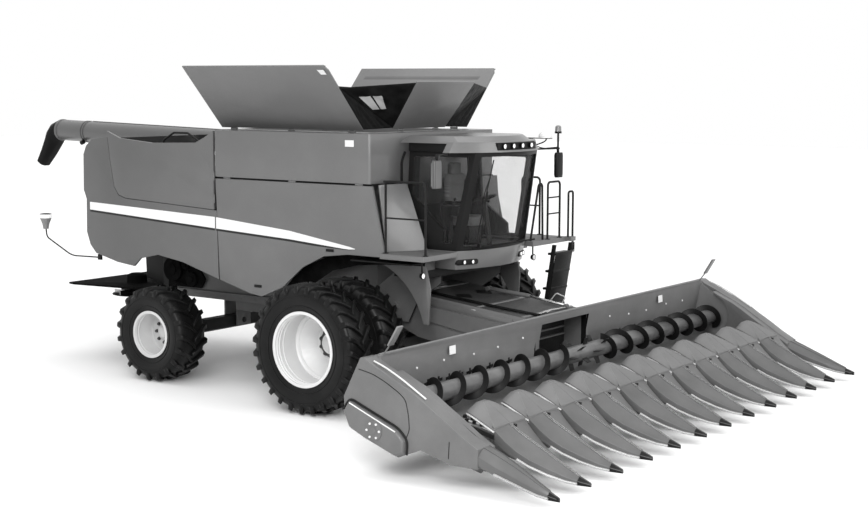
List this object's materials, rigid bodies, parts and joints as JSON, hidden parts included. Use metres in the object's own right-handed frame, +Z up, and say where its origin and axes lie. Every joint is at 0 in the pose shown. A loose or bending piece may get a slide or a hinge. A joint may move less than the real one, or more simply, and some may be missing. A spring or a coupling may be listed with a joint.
{
  "type": "combine harvester",
  "caption": "Self-propelled combine harvester with a maize header, open grain tank leaves, a rearward-stowed unloading auger, cab, twin front wheels and steered rear wheels.",
  "frame": {"origin": "on the ground, at the middle of the machine's overall length and width", "axes": "+X forward along the direction of travel, +Y to the machine's left, +Z up"},
  "size_m": [15.411, 9.33, 4.9216],
  "materials": {
    "body_paint": "satin mid-grey paint, with a white stripe over a black line on the sides",
    "head_paint": "satin mid-grey paint",
    "leaf_paint": "satin dark grey paint",
    "rim_paint": "satin off-white paint",
    "frame_paint": "satin grey paint",
    "auger_paint": "satin grey paint",
    "black_paint": "satin black paint",
    "roof_paint": "satin light grey moulding",
    "tyre_rubber": "matt black tread rubber",
    "soft_rubber": "matt black sheet",
    "black_plastic": "matt black",
    "tinted_glass": "lightly tinted",
    "bare_steel": "worn bare steel",
    "chromed_rod": "polished",
    "engine_iron": "painted casting",
    "snout_plastic": "satin mid-grey moulding",
    "seat_cloth": "woven cloth"
  },
  "bodies": {
    "chassis": {"front_axle": "frame_paint", "rear_axle": "frame_paint", "main_frame": "frame_paint", "separator_housing": "frame_paint", "engine_block": "engine_iron", "grain_tank": "leaf_paint", "tank_panels": "body_paint", "corner_gussets": "soft_rubber", "rear_panels": "body_paint", "rear_hood": "body_paint", "auger_riser": "auger_paint", "cab_shell": "body_paint", "cab_glass": "tinted_glass", "cab_base": "body_paint", "cab_roof": "roof_paint", "cab_interior": "seat_cloth", "walkways": "black_paint", "handrails": "body_paint", "corner_panels": "body_paint", "front_fenders": "black_plastic", "mirrors_and_lamps": "black_plastic", "chopper_housing": "frame_paint", "spreader_deck": "black_paint"},
    "front_right_wheels": {"front_right_tyres": "tyre_rubber", "front_right_rims": "rim_paint"},
    "front_left_wheels": {"front_left_tyres": "tyre_rubber", "front_left_rims": "rim_paint"},
    "right_knuckle": {"right_knuckle": "frame_paint"},
    "left_knuckle": {"left_knuckle": "frame_paint"},
    "rear_right_wheel": {"rear_right_tyre": "tyre_rubber", "rear_right_rim": "rim_paint"},
    "rear_left_wheel": {"rear_left_tyre": "tyre_rubber", "rear_left_rim": "rim_paint"},
    "tie_rod": {"tie_rod": "frame_paint"},
    "right_tank_leaf": {"right_tank_leaf": "leaf_paint"},
    "left_tank_leaf": {"left_tank_leaf": "leaf_paint"},
    "front_tank_leaf": {"front_tank_leaf": "leaf_paint"},
    "rear_tank_leaf": {"rear_tank_leaf": "leaf_paint"},
    "unloading_auger": {"unloading_auger": "auger_paint", "auger_spout": "soft_rubber"},
    "feeder_and_head": {"feeder_house": "body_paint", "head_frame": "head_paint", "row_units": "bare_steel", "row_hoods": "head_paint", "snouts": "snout_plastic", "end_shields": "head_paint"},
    "cross_auger": {"cross_auger": "bare_steel"},
    "lift_barrels": {"lift_barrels": "black_paint"},
    "lift_rods": {"lift_rods": "chromed_rod"},
    "right_side_shield": {"right_side_shield": "body_paint"},
    "left_side_shield": {"left_side_shield": "body_paint"},
    "right_rear_door": {"right_rear_door": "body_paint"},
    "left_rear_door": {"left_rear_door": "body_paint"},
    "cab_door": {"cab_door": "body_paint", "door_glass": "tinted_glass"},
    "ladder": {"ladder": "black_paint"},
    "right_spreader_rotor": {"right_spreader_rotor": "bare_steel"},
    "left_spreader_rotor": {"left_spreader_rotor": "bare_steel"}
  },
  "joints": [
    {"name": "front_right_wheels_spin", "type": "hinge", "parent": "chassis", "child": "front_right_wheels", "pos_m": [2.2745, -1.905, 0.942], "axis": [0, 1, 0], "continuous": true},
    {"name": "front_left_wheels_spin", "type": "hinge", "parent": "chassis", "child": "front_left_wheels", "pos_m": [2.2745, 1.905, 0.942], "axis": [0, 1, 0], "continuous": true},
    {"name": "right_steer", "type": "hinge", "parent": "chassis", "child": "right_knuckle", "pos_m": [-1.2555, -1.35, 0.75], "axis": [0, 0, 1], "range_deg": [-30, 30]},
    {"name": "left_steer", "type": "hinge", "parent": "chassis", "child": "left_knuckle", "pos_m": [-1.2555, 1.35, 0.75], "axis": [0, 0, 1], "range_deg": [-30, 30]},
    {"name": "rear_right_wheel_spin", "type": "hinge", "parent": "right_knuckle", "child": "rear_right_wheel", "pos_m": [-1.2555, -1.755, 0.75], "axis": [0, 1, 0], "continuous": true},
    {"name": "rear_left_wheel_spin", "type": "hinge", "parent": "left_knuckle", "child": "rear_left_wheel", "pos_m": [-1.2555, 1.755, 0.75], "axis": [0, 1, 0], "continuous": true},
    {"name": "tie_rod_pivot", "type": "hinge", "parent": "right_knuckle", "child": "tie_rod", "pos_m": [-1.5155, -1.35, 0.58], "axis": [0, 0, 1], "range_deg": [-30, 30]},
    {"name": "right_tank_leaf_fold", "type": "hinge", "parent": "chassis", "child": "right_tank_leaf", "pos_m": [1.0745, -1.3, 3.975], "axis": [-1, 0, 0], "range_deg": [0, 125], "deforming": ["corner_gussets"]},
    {"name": "left_tank_leaf_fold", "type": "hinge", "parent": "chassis", "child": "left_tank_leaf", "pos_m": [1.0745, 1.3, 3.975], "axis": [1, 0, 0], "range_deg": [0, 125], "deforming": ["corner_gussets"]},
    {"name": "front_tank_leaf_fold", "type": "hinge", "parent": "chassis", "child": "front_tank_leaf", "pos_m": [2.4645, 0, 3.985], "axis": [0, -1, 0], "range_deg": [0, 126], "deforming": ["corner_gussets"]},
    {"name": "rear_tank_leaf_fold", "type": "hinge", "parent": "chassis", "child": "rear_tank_leaf", "pos_m": [-0.3155, 0, 3.985], "axis": [0, 1, 0], "range_deg": [0, 126], "deforming": ["corner_gussets"]},
    {"name": "unloading_auger_swing", "type": "hinge", "parent": "chassis", "child": "unloading_auger", "pos_m": [1.6745, 1.34, 3.312], "axis": [0, 0, -1], "range_deg": [0, 95]},
    {"name": "feeder_lift", "type": "hinge", "parent": "chassis", "child": "feeder_and_head", "pos_m": [2.6245, 0, 1.4], "axis": [0, -1, 0], "range_deg": [-1, 14]},
    {"name": "lift_barrels_pivot", "type": "hinge", "parent": "chassis", "child": "lift_barrels", "pos_m": [2.5745, 0, 0.64], "axis": [0, -1, 0], "range_deg": [-1.21, 12.97]},
    {"name": "lift_rods_slide", "type": "slide", "parent": "lift_barrels", "child": "lift_rods", "axis": [0.9994, 0, 0.0345], "range_m": [-0.015, 0.1845]},
    {"name": "cross_auger_spin", "type": "hinge", "parent": "feeder_and_head", "child": "cross_auger", "pos_m": [5.3345, 0, 0.87], "axis": [0, 1, 0], "continuous": true},
    {"name": "right_side_shield_lift", "type": "hinge", "parent": "chassis", "child": "right_side_shield", "pos_m": [1.3245, -1.586, 3.23], "axis": [-1, 0, 0], "range_deg": [0, 75]},
    {"name": "left_side_shield_lift", "type": "hinge", "parent": "chassis", "child": "left_side_shield", "pos_m": [1.3245, 1.586, 3.23], "axis": [1, 0, 0], "range_deg": [0, 75]},
    {"name": "right_rear_door_swing", "type": "hinge", "parent": "chassis", "child": "right_rear_door", "pos_m": [-0.2335, -1.602, 3.075], "axis": [0, 0, 1], "range_deg": [0, 80]},
    {"name": "left_rear_door_swing", "type": "hinge", "parent": "chassis", "child": "left_rear_door", "pos_m": [-0.2335, 1.602, 3.075], "axis": [0, 0, -1], "range_deg": [0, 80]},
    {"name": "cab_door_swing", "type": "hinge", "parent": "chassis", "child": "cab_door", "pos_m": [2.9825, 0.88579, 2.975], "axis": [0, -0.0712, 0.9975], "range_deg": [0, 80]},
    {"name": "ladder_swing", "type": "hinge", "parent": "chassis", "child": "ladder", "pos_m": [3.9945, 2.04, 2.14], "axis": [0, 0, -1], "range_deg": [0, 90]},
    {"name": "right_spreader_spin", "type": "hinge", "parent": "chassis", "child": "right_spreader_rotor", "pos_m": [-3.1255, -0.48, 1.087], "axis": [0, 0, 1], "continuous": true},
    {"name": "left_spreader_spin", "type": "hinge", "parent": "chassis", "child": "left_spreader_rotor", "pos_m": [-3.1255, 0.48, 1.087], "axis": [0, 0, 1], "continuous": true}
  ],
  "couplings": [
    {"joint": "left_steer", "follows": "right_steer", "ratio": 1},
    {"joint": "tie_rod_pivot", "follows": "right_steer", "ratio": -1},
    {"joint": "lift_barrels_pivot", "follows": "feeder_lift", "ratio": 0.905},
    {"joint": "lift_rods_slide", "follows": "feeder_lift", "m_per_rad": 0.747}
  ]
}
